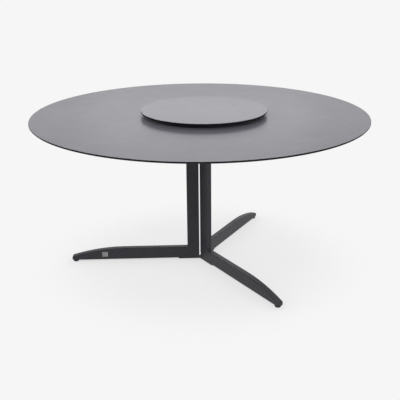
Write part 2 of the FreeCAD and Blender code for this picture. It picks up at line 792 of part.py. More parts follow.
def ring_section(sketch, face, wall, bottom, outward):
    """Section of a race ring: its ball groove is in the face, and its plain wall is outside or inside."""
    top = f"({bottom} + Sizes.ring_height)"
    radius = num(GROOVE_RADIUS)
    centre = place("Sizes.race_radius", BALL_LEVEL)
    spread = math.acos(num(half("Sizes.race_gap")) / radius)
    start = -spread if outward else math.pi - spread
    groove = Part.ArcOfCircle(Part.Circle(centre, FreeCAD.Vector(0, 0, 1), radius), start, start + 2 * spread)
    upper_end, lower_end = (END, START) if outward else (START, END)
    ends = {START: groove.StartPoint, END: groove.EndPoint}
    corners = [
        ends[lower_end], place(face, bottom), place(wall, bottom),
        place(wall, top), place(face, top), ends[upper_end],
    ]
    for first, second in zip(corners, corners[1:]):
        sketch.addGeometry(Part.LineSegment(first, second))
    arc = sketch.addGeometry(groove)
    last_line = arc - 1
    for n in range(last_line):
        join(sketch, n, END, n + 1, START)
    join(sketch, last_line, END, arc, upper_end)
    join(sketch, 0, START, arc, lower_end)
    for line, (x, y) in enumerate([(face, bottom), (wall, bottom), (wall, top), (face, top)]):
        pin(sketch, line, END, x, y)
    sketch.addConstraint(Sketcher.Constraint("Vertical", 0))
    sketch.addConstraint(Sketcher.Constraint("Vertical", last_line))
    pin(sketch, arc, CENTRE, "Sizes.race_radius", BALL_LEVEL)
    index = sketch.addConstraint(Sketcher.Constraint("Radius", arc, radius))
    name_last(sketch, index, GROOVE_RADIUS)


def build_race_ring(name, face, wall, bottom, outward):
    """A turned ring with a ball groove in the face that looks at the other ring."""
    body = new_body(name)
    sketch = new_sketch(body, "XZ_Plane")
    ring_section(sketch, face, wall, bottom, outward)
    turned = body.newObject("PartDesign::Revolution", f"{name}_revolution")
    turned.Profile = sketch
    turned.ReferenceAxis = (sketch, ["V_Axis"])
    turned.Angle = 360
    low = num(bottom)
    high = num(f"{bottom} + Sizes.ring_height")
    chamfered = round_edges(
        body, turned, "Sizes.ring_edge",
        lambda edge, at: isinstance(edge.Curve, Part.Circle) and (near(at.z, low) or near(at.z, high)),
        kind="Chamfer",
    )
    chamfered.Label = f"{name}_edges"
    return body


def build_outer_ring():
    body = build_race_ring(
        "bearing_outer_ring", OUTER_RACE_FACE, f"({OUTER_RACE_FACE} + Sizes.outer_ring_width)",
        OUTER_RING_BOTTOM, outward=True,
    )
    drill = new_sketch(body, "XY_Plane", OUTER_RING_BOTTOM)
    circle(drill, f"{half('Sizes.turntable_foot_stem_diameter')} + Sizes.thread_clearance", FOOT_CIRCLE)
    hole = pocket(body, drill, "Sizes.turntable_foot_stem_length + Sizes.thread_clearance")
    polar(body, [hole], "Sizes.turntable_foot_count")
    on_turntable(body)


def build_inner_ring():
    body = build_race_ring(
        "bearing_inner_ring", INNER_RACE_FACE, f"({INNER_RACE_FACE} - Sizes.inner_ring_width)",
        INNER_RING_BOTTOM, outward=False,
    )
    drill = new_sketch(body, "XY_Plane", INNER_RING_BOTTOM)
    circle(drill, f"{half('Sizes.disc_screw_diameter')} + Sizes.screw_hole_clearance", SCREW_CIRCLE)
    hole = pocket(body, drill, "Sizes.ring_height")
    seat_sketch = new_sketch(body, "XY_Plane", INNER_RING_BOTTOM)
    seat_radius = f"{half('Sizes.disc_screw_head_diameter')} + Sizes.screw_hole_clearance"
    circle(seat_sketch, seat_radius, SCREW_CIRCLE)
    seat = pocket(body, seat_sketch, "Sizes.disc_screw_recess")
    polar(body, [hole, seat], "Sizes.disc_screw_count")
    on_turntable(body)


def build_ball_cage():
    """A thin ring between the races, with a round window for each ball."""
    body = new_body("bearing_ball_cage")
    sketch = new_sketch(body, "XY_Plane", f"{BALL_LEVEL} - Sizes.cage_height / 2")
    circle(sketch, "Sizes.race_radius + Sizes.cage_thickness / 2")
    circle(sketch, "Sizes.race_radius - Sizes.cage_thickness / 2")
    pad(body, sketch, "Sizes.cage_height")
    drill = new_sketch(body, "YZ_Plane")
    circle(drill, GROOVE_RADIUS, None, BALL_LEVEL)
    window = pocket(body, drill, "Sizes.race_radius + Sizes.cage_thickness")
    polar(body, [window], "Sizes.ball_count")
    on_turntable(body)


def build_balls():
    body = new_body("bearing_balls")
    ball = body.newObject("PartDesign::AdditiveSphere", "ball")
    ball.setExpression("Radius", half("Sizes.ball_diameter"))
    ball.AttachmentSupport = [(origin_feature(body, "XY_Plane"), "")]
    ball.MapMode = "FlatFace"
    ball.setExpression("AttachmentOffset.Base.x", "Sizes.race_radius")
    ball.setExpression("AttachmentOffset.Base.z", BALL_LEVEL)
    polar(body, [ball], "Sizes.ball_count")
    on_turntable(body)


def build_turntable_feet():
    """Soft feet with stems that press into the outer ring."""
    body = new_body("turntable_feet")
    sketch = new_sketch(body, "XY_Plane", "Sizes.table_height")
    circle(sketch, half("Sizes.turntable_foot_diameter"), FOOT_CIRCLE)
    foot = pad(body, sketch, "Sizes.turntable_foot_height")
    stem_sketch = new_sketch(body, "XY_Plane", OUTER_RING_BOTTOM)
    circle(stem_sketch, half("Sizes.turntable_foot_stem_diameter"), FOOT_CIRCLE)
    stem = pad(body, stem_sketch, "Sizes.turntable_foot_stem_length")
    polar(body, [foot, stem], "Sizes.turntable_foot_count")
    on_turntable(body)


def build_turntable_disc():
    """The turning disc with its inserts and the screws that hold it on the inner ring."""
    disc = build_disc(
        "turntable_disc", "Sizes.disc_diameter", DISC_TOP, "Sizes.disc_thickness",
        "Sizes.disc_bevel", "Sizes.disc_easing",
        f"{half('Sizes.disc_insert_diameter')} + Sizes.insert_clearance", "Sizes.disc_insert_depth",
        [SCREW_CIRCLE], "Sizes.disc_screw_count",
    )
    on_turntable(disc)
    inserts = build_rings(
        "disc_inserts", [SCREW_CIRCLE], DISC_UNDERSIDE, "Sizes.disc_insert_depth",
        half("Sizes.disc_insert_diameter"),
        f"{half('Sizes.disc_screw_diameter')} + Sizes.thread_clearance", "Sizes.disc_screw_count",
    )
    on_turntable(inserts)
    screws = build_screws(
        "disc_screws", [SCREW_CIRCLE],
        f"({INNER_RING_BOTTOM} + Sizes.disc_screw_recess - Sizes.disc_screw_head_height)",
        "Sizes.disc_screw_head_height", half("Sizes.disc_screw_head_diameter"),
        half("Sizes.disc_screw_diameter"),
        f"({DISC_UNDERSIDE} + Sizes.disc_insert_depth - Sizes.disc_screw_end_gap)",
        "Sizes.disc_screw_socket", "Sizes.disc_screw_socket_depth", "Sizes.disc_screw_count",
    )
    on_turntable(screws)


# ---------------------------------------------------------------- whole table

LEGS = {"rear": 0, "left": 1, "front": 2}

build_tabletop()
build_frame_plate()
for n in range(int(num("Sizes.arm_count"))):
    build_arm(n)
build_end_caps()
build_top_fixing()
for side, n in LEGS.items():
    build_leg(f"leg_{side}", n)
build_head_blocks()
build_heel_blocks()
build_head_bolts()
build_tie_plate()
build_tie_screws()
build_glide_nuts()
for side, n in LEGS.items():
    build_glide(side, n)
build_outer_ring()
build_turntable_feet()
build_ball_cage()
build_balls()
build_inner_ring()
build_turntable_disc()
doc.recompute()

for item in doc.Objects:
    if "Invalid" in item.State or "Error" in item.State:
        raise RuntimeError(f"{item.Name} failed: {item.State}")
for body in parts:
    if body.Shape.isNull() or not body.Shape.isValid() or not body.Shape.Solids:
        raise RuntimeError(f"{body.Label} has no valid solid")

os.makedirs("parts", exist_ok=True)
for body in parts:
    body.Shape.exportStep(f"parts/{body.Label}.step")
    print(f"{body.Label}: {len(body.Shape.Solids)} solids, {body.Shape.Volume / 1000:.2f} cm3")
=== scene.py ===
import json
import math

import bmesh
import bpy
from mathutils import Euler, Matrix, Vector


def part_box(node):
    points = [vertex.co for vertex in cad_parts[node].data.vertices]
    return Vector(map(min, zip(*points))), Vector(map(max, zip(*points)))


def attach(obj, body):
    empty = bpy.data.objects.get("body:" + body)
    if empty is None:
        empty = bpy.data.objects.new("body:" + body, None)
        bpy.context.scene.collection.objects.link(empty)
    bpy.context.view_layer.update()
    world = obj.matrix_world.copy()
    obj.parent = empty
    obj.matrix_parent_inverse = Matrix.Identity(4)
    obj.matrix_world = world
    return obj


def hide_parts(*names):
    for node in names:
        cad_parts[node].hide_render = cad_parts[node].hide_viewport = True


# Looks of the round pedestal table with its loose turntable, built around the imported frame.
# Metres and radians, in the frame's own axes: +Z up, the origin on the floor under the middle of
# the top.

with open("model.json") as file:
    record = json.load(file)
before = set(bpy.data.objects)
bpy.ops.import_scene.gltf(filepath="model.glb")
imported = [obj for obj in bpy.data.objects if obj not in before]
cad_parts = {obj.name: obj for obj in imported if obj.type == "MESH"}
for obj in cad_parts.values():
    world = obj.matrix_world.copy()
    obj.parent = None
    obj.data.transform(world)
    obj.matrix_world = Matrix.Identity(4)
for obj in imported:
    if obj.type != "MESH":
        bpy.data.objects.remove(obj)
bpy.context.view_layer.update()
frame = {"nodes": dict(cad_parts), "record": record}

MM = 0.001
UP = Vector((0, 0, 1))
LEG_SIDES = ("rear", "left", "front")
ARM_COUNT = 6


# ---------------------------------------------------------------- colours and nodes

# How much of a grey's blue cast goes into its red, which makes the cast lean to violet.
VIOLET_SHARE = 0.2
# Where a Mix node keeps its colour sockets.
MIX_FIRST = 6
MIX_SECOND = 7
MIX_RESULT = 2


def grey(level, blue=0.0):
    """A grey with a slight blue cast that leans to violet, as linear RGB."""
    return (level * (1 + VIOLET_SHARE * blue), level, level * (1 + blue))


def shade(colour, factor, lift=0.0):
    """A colour made darker or lighter by a factor, and then lifted by an amount."""
    return [min(1, c * factor + lift) for c in colour]


class Nodes:
    """Short calls that add nodes to one tree. A value that a call takes is a number, a vector, an
    RGB colour or the socket of another node."""

    def __init__(self, tree):
        self.tree = tree

    def add(self, kind, **settings):
        """Add a node and set its properties."""
        node = self.tree.nodes.new(kind)
        for name, value in settings.items():
            setattr(node, name, value)
        return node

    def give(self, socket, value):
        """Link an input to another node's socket, or set its plain value."""
        if isinstance(value, bpy.types.NodeSocket):
            self.tree.links.new(value, socket)
        elif socket.type == "RGBA":
            socket.default_value = (*value, 1)
        else:
            socket.default_value = value

    def feed(self, node, **inputs):
        """Give values to a node's inputs by name; _ in a name stands for a space."""
        for name, value in inputs.items():
            self.give(node.inputs[name.replace("_", " ")], value)
        return node

    def operate(self, kind, operation, values):
        """Add a maths node of one kind, and give values to its inputs in their order."""
        node = self.add(kind, operation=operation)
        for socket, value in zip(node.inputs, values):
            self.give(socket, value)
        return node.outputs

    def maths(self, operation, *values):
        """The result of an operation on numbers."""
        return self.operate("ShaderNodeMath", operation, values)["Value"]

    def vector_maths(self, operation, *values):
        """The outputs of a vector operation: Vector, or Value where the result is a number."""
        return self.operate("ShaderNodeVectorMath", operation, values)

    def axis_of(self, name, vector):
        """One axis of a vector, by its letter."""
        return self.feed(self.add("ShaderNodeSeparateXYZ"), Vector=vector).outputs[name]

    def span(self, value, low, high, to_low=0.0, to_high=1.0):
        """Map a value from one span to another, clamped."""
        node = self.add("ShaderNodeMapRange")
        self.feed(node, Value=value, From_Min=low, From_Max=high, To_Min=to_low, To_Max=to_high)
        return node.outputs["Result"]

    def ramp(self, value, stops):
        """A colour ramp with stops that are each a place from 0 to 1 and an RGB colour."""
        node = self.feed(self.add("ShaderNodeValToRGB"), Fac=value)
        elements = node.color_ramp.elements
        while len(elements) < len(stops):
            elements.new(0.5)       # it gets its own place below
        for element, (at, colour) in zip(elements, stops):
            element.position = at
            element.color = (*colour, 1)
        return node.outputs["Color"]

    def mix(self, factor, first, second):
        """Blend two colours."""
        node = self.add("ShaderNodeMix", data_type="RGBA")
        self.give(node.inputs["Factor"], factor)
        self.give(node.inputs[MIX_FIRST], first)
        self.give(node.inputs[MIX_SECOND], second)
        return node.outputs[MIX_RESULT]

    def mix_shaders(self, factor, first, second):
        """Blend two shader nodes."""
        node = self.add("ShaderNodeMixShader")
        for socket, value in zip(node.inputs, (factor, first.outputs[0], second.outputs[0])):
            self.give(socket, value)
        return node


class Surface(Nodes):
    """A procedural material. The plain values on its shader are what an export without baking
    keeps of the inputs that are linked."""

    def __init__(self, name, roughness=0.5, metallic=0.0, specular=0.5):
        self.material = bpy.data.materials.new(name)
        self.material.use_nodes = True
        super().__init__(self.material.node_tree)
        self.shader = self.tree.nodes["Principled BSDF"]
        self.feed(self.shader, Roughness=roughness, Metallic=metallic, Specular_IOR_Level=specular)
        coordinates = self.add("ShaderNodeTexCoord").outputs
        self.place = coordinates["Object"]
        self.facing = coordinates["Normal"]

    def stretched(self, scale, turn=0.0):
        """The object's coordinates turned about Z and then scaled per axis."""
        mapping = self.add("ShaderNodeMapping", vector_type="TEXTURE")
        self.feed(mapping, Vector=self.place, Rotation=(0, 0, turn), Scale=[1 / s for s in scale])
        return mapping.outputs["Vector"]

    def noise(self, scale, detail=4.0, roughness=0.55, vector=None, distortion=0.0):
        """Fractal noise from 0 to 1, mostly near 0.5; the scale counts its marks per metre."""
        node = self.add("ShaderNodeTexNoise")
        self.feed(node, Vector=vector or self.place, Scale=scale, Detail=detail,
                  Roughness=roughness, Distortion=distortion)
        return node.outputs["Fac"]

    def cells(self, scale):
        """A pattern of small round cells: the distance to the nearest cell's middle."""
        node = self.feed(self.add("ShaderNodeTexVoronoi"), Vector=self.place, Scale=scale)
        return node.outputs["Distance"]

    def lay(self, colour, tone, pattern, start, full, strength=1.0):
        """Lay a tone over a colour where a pattern rises from start to full."""
        return self.mix(self.span(pattern, start, full, to_high=strength), colour, tone)

    def bump(self, height, distance, strength, normal=None):
        """The normals of a relief, laid on another relief where that one's normals are given."""
        node = self.add("ShaderNodeBump")
        self.feed(node, Height=height, Distance=distance, Strength=strength)
        if normal is not None:
            self.feed(node, Normal=normal)
        return node.outputs["Normal"]

    def finish(self, colour, roughness, normal):
        """Link the shader's last inputs, and hand over the material."""
        self.feed(self.shader, Base_Color=colour, Roughness=roughness, Normal=normal)
        return self.material


# ---------------------------------------------------------------- camera

# Fitted to the photo: the rims of the top and turntable, the glides and the edges of the uprights.
CAMERA_PLACE = (-0.1105, -3.3995, 1.5207)
CAMERA_YAW = 0.05385
CAMERA_PITCH = 0.3741
CAMERA_ROLL = -0.001
CAMERA_LENS = 64.97
CAMERA_SENSOR = 36
CAMERA_SHIFT = (-0.0394, 0.0603)
CAMERA_RANGE = 200


def make_camera():
    """The photo's own view. The lens and the sensor are in millimetres."""
    data = bpy.data.cameras.new("camera")
    data.lens = CAMERA_LENS
    data.sensor_width = CAMERA_SENSOR
    data.shift_x, data.shift_y = CAMERA_SHIFT
    data.clip_end = CAMERA_RANGE
    camera = bpy.data.objects.new("camera", data)
    camera.location = CAMERA_PLACE
    level_view = Euler((math.pi / 2 - CAMERA_PITCH, 0, -CAMERA_YAW)).to_matrix()
    camera.rotation_euler = (level_view @ Matrix.Rotation(CAMERA_ROLL, 3, "Z")).to_euler()
    bpy.context.scene.collection.objects.link(camera)
    bpy.context.scene.camera = camera


# ---------------------------------------------------------------- studio

# The floor: half its width, and how bright it is where it bounces light, where the camera sees it
# and where polished faces mirror it.
FLOOR_HALF = 60.0
FLOOR_BOUNCE = 0.92
FLOOR_SEEN = 0.9216
FLOOR_MIRRORED = 0.65
# The contact shadow: how open the space above a point of the floor is, and the tone seen there.
SHADOW_REACH = 0.85
SHADOW_SAMPLES = 16
SHADOW_TONES = [(0.10, 0.60), (0.35, 0.76), (0.75, 0.850), (0.88, FLOOR_SEEN)]
# The studio's walls and ceiling: the sine of the height above the horizon, and the tone there.
SKY_FRONT = [(0.0, 0.0), (0.12, 0.50), (0.27, 0.80), (0.42, 0.80), (0.65, 0.0), (1.0, 0.0)]
SKY_BACK = [(0.0, 0.0), (0.12, 1.20), (0.27, 1.92), (0.42, 0.49), (0.65, 0.0), (1.0, 0.0)]
SKY_MIRRORED = [(0.0, 0.0), (0.12, 1.20), (0.27, 1.78), (0.42, 0.46), (0.65, 0.30), (1.0, 0.90)]
SKY_BLUE = 0.03
# How far either side of the middle the front wall turns into the back wall.
SKY_TURN = 0.3
SOFTBOXES = {
    # name: place, aim, size, power
    "softbox_top": ((0, 0, 1.85), (0, 0, 0.5), (0.9, 0.25), 1.2),
    "softbox_back": ((0.15, 4.5, 2.35), (0.15, 0, 0.8), (2.4, 0.9), 4.8),
    "softbox_left": ((-3.9, 0.1, 2.0), (0, 0, 0.2), (1.6, 1.0), 40),
    "softbox_right": ((3.9, 0.4, 1.0), (0, 0, 0.1), (1.6, 0.9), 122),
    "softbox_front": ((-0.6, -3.4, 2.9), (0, 0, 0.2), (2.4, 1.0), 94),
    "lamp_left": ((-0.44, 0.0, 1.30), (-0.44, 0.0, 0.8), (0.5, 0.4), 1.15),
    "lamp_right": ((0.44, 0.0, 1.30), (0.44, 0.0, 0.8), (0.5, 0.4), 1.15),
}
# The one softbox that polished faces mirror.
MIRRORED = "softbox_back"


def make_floor():
    """A wide pale floor. It bounces light as white paper does, and polished faces mirror it as an
    even tone. The camera sees it evenly lit, with a soft shadow where the table closes off the
    space above it. From below it is clear."""
    mesh = bpy.data.meshes.new("floor")
    corners = [(-1, -1), (1, -1), (1, 1), (-1, 1)]
    mesh.from_pydata([(x * FLOOR_HALF, y * FLOOR_HALF, 0) for x, y in corners], [], [(0, 1, 2, 3)])
    floor = bpy.data.objects.new("floor", mesh)
    bpy.context.scene.collection.objects.link(floor)
    surface = Surface("studio_floor")
    openness = surface.add("ShaderNodeAmbientOcclusion", samples=SHADOW_SAMPLES)
    surface.feed(openness, Distance=SHADOW_REACH)
    shadow = surface.ramp(openness.outputs["AO"], [(at, grey(tone)) for at, tone in SHADOW_TONES])
    bounce = surface.feed(surface.add("ShaderNodeBsdfDiffuse"), Color=grey(FLOOR_BOUNCE))
    mirrored = surface.feed(surface.add("ShaderNodeEmission"), Color=grey(FLOOR_MIRRORED))
    seen = surface.feed(surface.add("ShaderNodeEmission"), Color=shadow)
    clear = surface.add("ShaderNodeBsdfTransparent")
    rays = surface.add("ShaderNodeLightPath").outputs
    from_below = surface.add("ShaderNodeNewGeometry").outputs["Backfacing"]
    look = surface.mix_shaders(rays["Is Glossy Ray"], bounce, mirrored)
    look = surface.mix_shaders(rays["Is Camera Ray"], look, seen)
    look = surface.mix_shaders(from_below, look, clear)
    surface.feed(surface.tree.nodes["Material Output"], Surface=look.outputs[0])
    surface.tree.nodes.remove(surface.shader)
    mesh.materials.append(surface.material)


def make_world():
    """Pale walls and ceiling. The light that they give changes with the height above the horizon
    and from the front wall to the back wall. What polished faces mirror is the same all round, and
    the camera itself sees an even pale backdrop."""
    world = bpy.data.worlds.new("studio")
    world.use_nodes = True
    sky = Nodes(world.node_tree)
    direction = sky.add("ShaderNodeTexCoord").outputs["Generated"]
    height = sky.axis_of("Z", direction)
    backness = sky.span(sky.axis_of("Y", direction), -SKY_TURN, SKY_TURN)
    rays = sky.add("ShaderNodeLightPath").outputs

    def wall(tones):
        """The tones of one wall by height."""
        return sky.ramp(height, [(at, grey(tone, SKY_BLUE)) for at, tone in tones])

    light = sky.mix(backness, wall(SKY_FRONT), wall(SKY_BACK))
    light = sky.mix(rays["Is Glossy Ray"], light, wall(SKY_MIRRORED))
    light = sky.mix(rays["Is Camera Ray"], light, grey(FLOOR_SEEN))
    sky.feed(sky.tree.nodes["Background"], Color=light)
    bpy.context.scene.world = world


def make_lights():
    """Softboxes round the table. The camera sees none, and polished faces mirror only one."""
    for name, (place, aim, size, power) in SOFTBOXES.items():
        data = bpy.data.lights.new(name, "AREA")
        data.shape = "RECTANGLE"
        data.size, data.size_y = size
        data.energy = power
        light = bpy.data.objects.new(name, data)
        light.location = place
        light.rotation_euler = (Vector(aim) - Vector(place)).to_track_quat("-Z", "Y").to_euler()
        light.visible_camera = False
        light.visible_glossy = name == MIRRORED
        bpy.context.scene.collection.objects.link(light)


# ---------------------------------------------------------------- materials

# Laminate: each panel's tone and roughness, the streaks and smears, the thin decor and the core.
TOP_TONE = 0.1125
TOP_ROUGHNESS = 0.36
DISC_TONE = 0.122
DISC_ROUGHNESS = 0.34
STREAK_SCALE = (9.0, 60.0, 60.0)
STREAK_TURN = math.radians(24)
STREAK_GLOSS = 0.018
STREAK_RELIEF = 1.4
SMEAR_GLOSS = (0.012, 0.018)
DECOR_THICKNESS = 0.5 * MM
DECOR_SPECULAR = 0.5
CORE_TONES = (grey(0.004, 0.1), grey(0.009, 0.1))
CORE_ROUGHNESS = 0.70
CORE_SPECULAR = 0.08
CORE_LAYERS = (60.0, 60.0, 2600.0)

# Powder coat: its own tones and gloss, then dust and painted sheen, full below the first level and
# gone above the second. Faces that look up get painted sheen with some dust; scuffs get faint dust.
COAT_TONE = 0.0265
COAT_ROUGHNESS = 0.42
COAT_GLOSS = (0.40, 0.44)
COAT_SPECULAR = 0.30
DUST_AND_SHEEN = grey(0.10, 0.02)
DUST_AND_SHEEN_LEVELS = (0.012, 0.085)
DUST_AND_SHEEN_MATTING = 0.4
DUST_AND_SHEEN_SLOPES = (0.80, 0.99)
# How much lighter faces that look up near the floor become: painted sheen standing in for light on
# them, with some dust.
SETTLED_DUST_AND_SHEEN = 0.42
SCUFF_DUST = 0.05
SCUFF_SCALE = (30.0, 30.0, 260.0)
SCUFF_TURN = math.radians(12)

# Cuts of the lathe and of the brush, per metre.
LATHE_CUTS = 2400.0
BRUSH_SCALE = (60.0, 60.0, 3000.0)

# The looks of the plain slots.
PLASTICS = {
    # slot: colour, roughness
    "glide_plastic": (grey(0.005), 0.6),
    "cap_plastic": (grey(0.014), 0.45),
    "cage_plastic": ((0.72, 0.70, 0.64), 0.4),
}
RUBBERS = {
    # slot: colour
    "spacer_rubber": grey(0.018),
    "foot_rubber": grey(0.06),
}
STEELS = {
    # slot: colour, roughness, colour of its stains
    "zinc_steel": ((0.58, 0.60, 0.62), 0.32, (0.46, 0.47, 0.45)),
    "black_steel": ((0.045, 0.045, 0.050), 0.42, (0.08, 0.075, 0.07)),
    "raw_steel": ((0.36, 0.36, 0.37), 0.40, (0.24, 0.20, 0.17)),
    "ball_steel": ((0.72, 0.72, 0.73), 0.10, (0.60, 0.60, 0.60)),
}
BRASS = ((0.70, 0.50, 0.20), 0.28, (0.42, 0.27, 0.10))
ALUMINIUM = ((0.66, 0.67, 0.69), 0.30, (0.50, 0.51, 0.53))


def decor_mask(surface, node):
    """1 on the decor of a panel's upper and lower face, and 0 on the core that its rim shows."""
    low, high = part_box(node)
    level = surface.axis_of("Z", surface.place)
    above = surface.maths("GREATER_THAN", level, high.z - DECOR_THICKNESS)
    below = surface.maths("LESS_THAN", level, low.z + DECOR_THICKNESS)
    return surface.maths("MAXIMUM", above, below)


def decor_tones(surface, tone, streaks, grain):
    """The decor's slate greys: faint clouds, lighter streaks, a darker mottle and a light grain."""
    clouds = surface.noise(5.0, detail=6.0, roughness=0.6, distortion=0.4)
    mottle = surface.noise(34.0, detail=5.0, roughness=0.65)
    tones = surface.lay(grey(tone * 0.96, 0.20), grey(tone * 1.02, 0.15), clouds, 0.35, 0.65)
    tones = surface.lay(tones, grey(tone * 1.25, 0.12), streaks, 0.42, 0.68, strength=0.26)
    tones = surface.lay(tones, grey(tone * 0.76, 0.17), mottle, 0.44, 0.70, strength=0.20)
    return surface.lay(tones, grey(tone * 1.30, 0.12), grain, 0.50, 0.72, strength=0.30)


def laminate(name, node, tone, roughness):
    """Slate-grey decor on a black core: mottled and faintly streaked on top, dark on the rim."""
    surface = Surface(name, roughness=roughness, specular=DECOR_SPECULAR)
    decor = decor_mask(surface, node)
    along_streaks = surface.stretched(STREAK_SCALE, turn=STREAK_TURN)
    streaks = surface.noise(1.0, detail=5.0, roughness=0.6, vector=along_streaks, distortion=0.25)
    grain = surface.noise(420.0, detail=3.0, roughness=0.6)
    layers = surface.noise(1.0, detail=3.0, vector=surface.stretched(CORE_LAYERS))
    core = surface.mix(layers, *CORE_TONES)
    colour = surface.mix(decor, core, decor_tones(surface, tone, streaks, grain))
    smears = surface.noise(9.0, detail=5.0, roughness=0.7, distortion=0.8)
    gloss = surface.span(smears, 0.3, 0.75, roughness - SMEAR_GLOSS[0], roughness + SMEAR_GLOSS[1])
    streak_gloss = surface.span(streaks, 0.4, 0.7, -STREAK_GLOSS, STREAK_GLOSS)
    gloss = surface.maths("ADD", gloss, streak_gloss)
    gloss = surface.maths("MAXIMUM", gloss, surface.span(decor, 0.0, 1.0, CORE_ROUGHNESS, 0.0))
    specular = surface.span(decor, 0.0, 1.0, CORE_SPECULAR, DECOR_SPECULAR)
    surface.feed(surface.shader, Specular_IOR_Level=specular)
    relief = surface.maths("ADD", surface.maths("MULTIPLY", streaks, STREAK_RELIEF), grain)
    normal = surface.bump(relief, distance=0.06 * MM, strength=0.5)
    pores = surface.noise(1500.0, detail=2.0)
    normal = surface.bump(pores, distance=0.03 * MM, strength=0.5, normal=normal)
    return surface.finish(colour, gloss, normal)


def floor_dust_and_sheen(surface):
    """Dusting near the floor, faint along scuffs, and painted sheen with dusting where a face looks
    up.
    """
    near_floor = surface.span(surface.axis_of("Z", surface.place), *DUST_AND_SHEEN_LEVELS, 1.0, 0.0)
    along_scuffs = surface.stretched(SCUFF_SCALE, turn=SCUFF_TURN)
    scuffs = surface.noise(1.0, detail=6.0, roughness=0.7, vector=along_scuffs)
    scuffed = surface.span(scuffs, 0.50, 0.85, 0.0, SCUFF_DUST)
    upward = surface.axis_of("Z", surface.facing)
    # Painted sheen: faces that look up are made lighter, as light falling on them would make them,
    # partly as dust.
    settled_and_sheen = surface.span(upward, *DUST_AND_SHEEN_SLOPES, 0.0, SETTLED_DUST_AND_SHEEN)
    return surface.maths("ADD", surface.maths("MULTIPLY", scuffed, near_floor),
                         surface.maths("MULTIPLY", settled_and_sheen, near_floor))


def powder_coat(name):
    """Anthracite powder coat, finely leathery, dusted and with painted sheen near the floor."""
    surface = Surface(name, roughness=COAT_ROUGHNESS, specular=COAT_SPECULAR)
    patches = surface.noise(11.0, detail=4.0)
    speckle = surface.noise(900.0, detail=2.0)
    dark, light = grey(COAT_TONE * 0.94, 0.22), grey(COAT_TONE * 1.08, 0.18)
    colour = surface.lay(dark, light, patches, 0.35, 0.65)
    colour = surface.lay(colour, grey(COAT_TONE * 1.3, 0.16), speckle, 0.45, 0.75, strength=0.3)
    # What is laid on here is dust and painted sheen, which lightens the feet's faces that look up.
    dust_and_sheen = floor_dust_and_sheen(surface)
    colour = surface.mix(dust_and_sheen, colour, DUST_AND_SHEEN)
    sheen = surface.noise(26.0, detail=5.0, roughness=0.6)
    gloss = surface.span(sheen, 0.3, 0.7, *COAT_GLOSS)
    gloss = surface.maths("ADD", gloss, surface.maths("MULTIPLY", dust_and_sheen, DUST_AND_SHEEN_MATTING))
    normal = surface.bump(surface.cells(1900.0), distance=0.02 * MM, strength=0.25)
    ripple = surface.noise(260.0, detail=3.0)
    normal = surface.bump(ripple, distance=0.02 * MM, strength=0.15, normal=normal)
    return surface.finish(colour, gloss, normal)


def moulded_plastic(name, colour, roughness):
    """Injection-moulded plastic: eroded mould texture, flow marks and a few rubbed spots."""
    surface = Surface(name, roughness=roughness, specular=0.45)
    flow = surface.noise(60.0, detail=4.0, distortion=1.2)
    rubbed = surface.noise(240.0, detail=5.0, roughness=0.7)
    tint = surface.lay(shade(colour, 0.85), shade(colour, 1.15), flow, 0.35, 0.7)
    tint = surface.lay(tint, shade(colour, 1.8, lift=0.01), rubbed, 0.62, 0.8, strength=0.4)
    gloss = surface.span(rubbed, 0.4, 0.8, roughness + 0.06, roughness - 0.10)
    normal = surface.bump(surface.cells(2600.0), distance=0.05 * MM, strength=0.5)
    return surface.finish(tint, gloss, normal)


def rubber(name, colour):
    """Dull rubber with patches of pale bloom."""
    surface = Surface(name, roughness=0.8, specular=0.3)
    bloom = surface.noise(130.0, detail=5.0, roughness=0.7)
    tint = surface.lay(colour, shade(colour, 1.9, lift=0.004), bloom, 0.4, 0.75)
    gloss = surface.span(bloom, 0.3, 0.7, 0.72, 0.88)
    normal = surface.bump(surface.noise(1800.0, detail=3.0), distance=0.06 * MM, strength=0.6)
    return surface.finish(tint, gloss, normal)


def turned_metal(name, colour, roughness, stain, centre=(0.0, 0.0)):
    """Metal turned on a lathe: fine rings about a vertical axis, with faint stains."""
    surface = Surface(name, roughness=roughness, metallic=1.0)
    from_axis = surface.vector_maths("SUBTRACT", surface.place, (*centre, 0))["Vector"]
    level = surface.vector_maths("MULTIPLY", from_axis, (1, 1, 0))["Vector"]
    radius = surface.vector_maths("LENGTH", level)["Value"]
    height = surface.axis_of("Z", surface.place)
    rings = surface.feed(surface.add("ShaderNodeCombineXYZ"),
                         X=surface.maths("MULTIPLY", radius, LATHE_CUTS),
                         Z=surface.maths("MULTIPLY", height, LATHE_CUTS))
    cuts = surface.noise(1.0, detail=3.0, vector=rings.outputs["Vector"])
    stains = surface.noise(70.0, detail=5.0, roughness=0.7)
    tint = surface.lay(colour, stain, stains, 0.48, 0.72, strength=0.6)
    tint = surface.lay(tint, shade(colour, 0.72), cuts, 0.35, 0.65, strength=0.3)
    gloss = surface.span(cuts, 0.3, 0.7, roughness - 0.06, roughness + 0.10)
    normal = surface.bump(cuts, distance=0.02 * MM, strength=0.5)
    return surface.finish(tint, gloss, normal)


def plated_steel(name, colour, roughness, stain):
    """Plated or bare steel: cloudy passivation, fine pits and faint rub marks."""
    surface = Surface(name, roughness=roughness, metallic=1.0)
    clouds = surface.noise(90.0, detail=5.0, roughness=0.65, distortion=0.6)
    pits = surface.noise(1400.0, detail=3.0)
    tint = surface.lay(colour, stain, clouds, 0.4, 0.7)
    tint = surface.lay(tint, shade(colour, 0.6), pits, 0.58, 0.75, strength=0.5)
    gloss = surface.span(clouds, 0.3, 0.7, roughness - 0.05, roughness + 0.12)
    normal = surface.bump(pits, distance=0.03 * MM, strength=0.5)
    return surface.finish(tint, gloss, normal)


